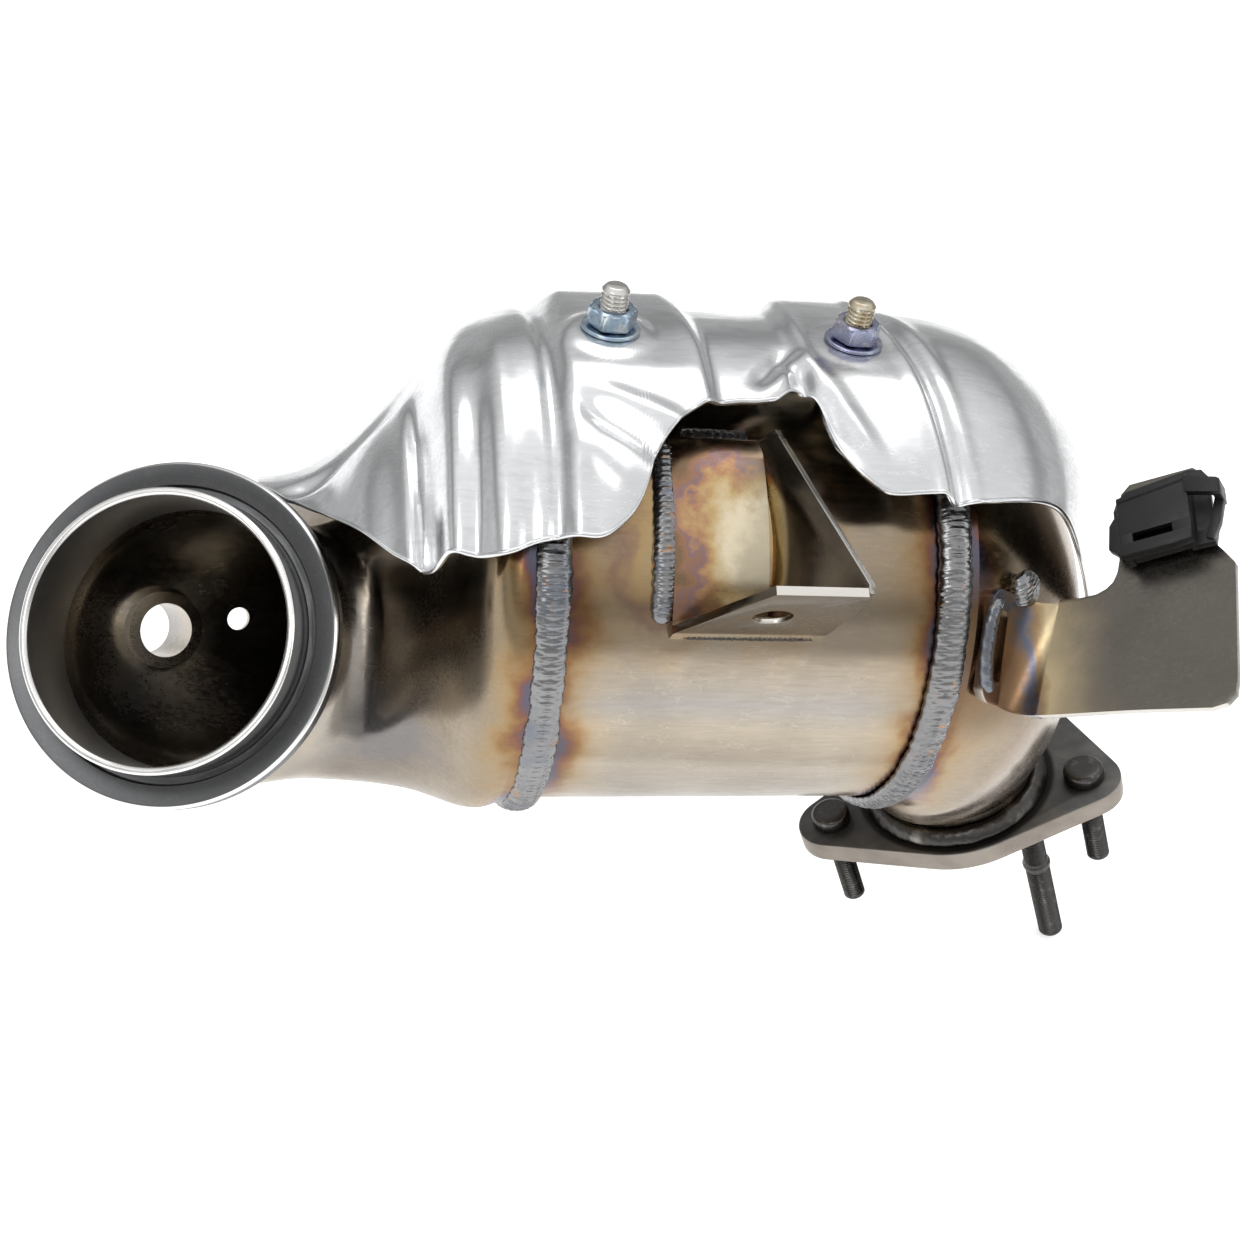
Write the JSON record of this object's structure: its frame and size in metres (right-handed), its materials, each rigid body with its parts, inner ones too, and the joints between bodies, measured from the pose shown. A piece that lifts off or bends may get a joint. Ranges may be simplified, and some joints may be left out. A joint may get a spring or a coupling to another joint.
{
  "type": "catalytic converter",
  "caption": "Catalytic converter with a V-band inlet elbow, round welded can, angled outlet flange, pressed heat shield and welded brackets.",
  "frame": {"origin": "centre of the inlet ring's front face", "axes": "+X runs along the can from inlet to outlet, +Z is the way the shield's studs stand"},
  "size_m": [0.4065, 0.1914, 0.2965],
  "materials": {
    "stainless": "heat-tinted brushed stainless",
    "ring": "turned, dark",
    "weld": "rippled weld",
    "mat": "ceramic fibre mat",
    "brick": "fired ceramic honeycomb",
    "flange": "dark scaled steel with bright edges",
    "black_bolt": "black phosphated steel",
    "bracket": "heat-tinted sheet",
    "clip_steel": "brown to grey brushed sheet",
    "plastic": "fine grained",
    "shield": "bright pressed sheet",
    "zinc": "blue zinc plated"
  },
  "bodies": {
    "root": {"inlet_ring": "ring", "inlet_ring_weld": "weld", "inlet_elbow": "stainless", "sensor_bung": "stainless", "sensor_bung_weld": "weld", "inlet_seam_weld": "weld", "can_shell": "stainless", "support_mat": "mat", "catalyst_brick": "brick", "outlet_seam_weld": "weld", "outlet_cone": "stainless", "outlet_flange_weld": "weld", "outlet_flange": "flange", "flange_bolt_left": "black_bolt", "flange_bolt_right": "black_bolt", "outlet_long_stud": "black_bolt", "mount_bracket": "bracket", "bracket_weld_side": "weld", "bracket_weld_top": "weld", "bracket_weld_under": "weld", "clip_bracket": "clip_steel", "clip_bracket_weld": "weld", "clip_bracket_tack": "weld", "connector_clip": "plastic", "heat_shield": "shield", "shield_stud_left": "zinc", "shield_washer_left": "zinc", "shield_nut_left": "zinc", "shield_stud_right": "zinc", "shield_washer_right": "zinc", "shield_nut_right": "zinc"}
  },
  "joints": []
}
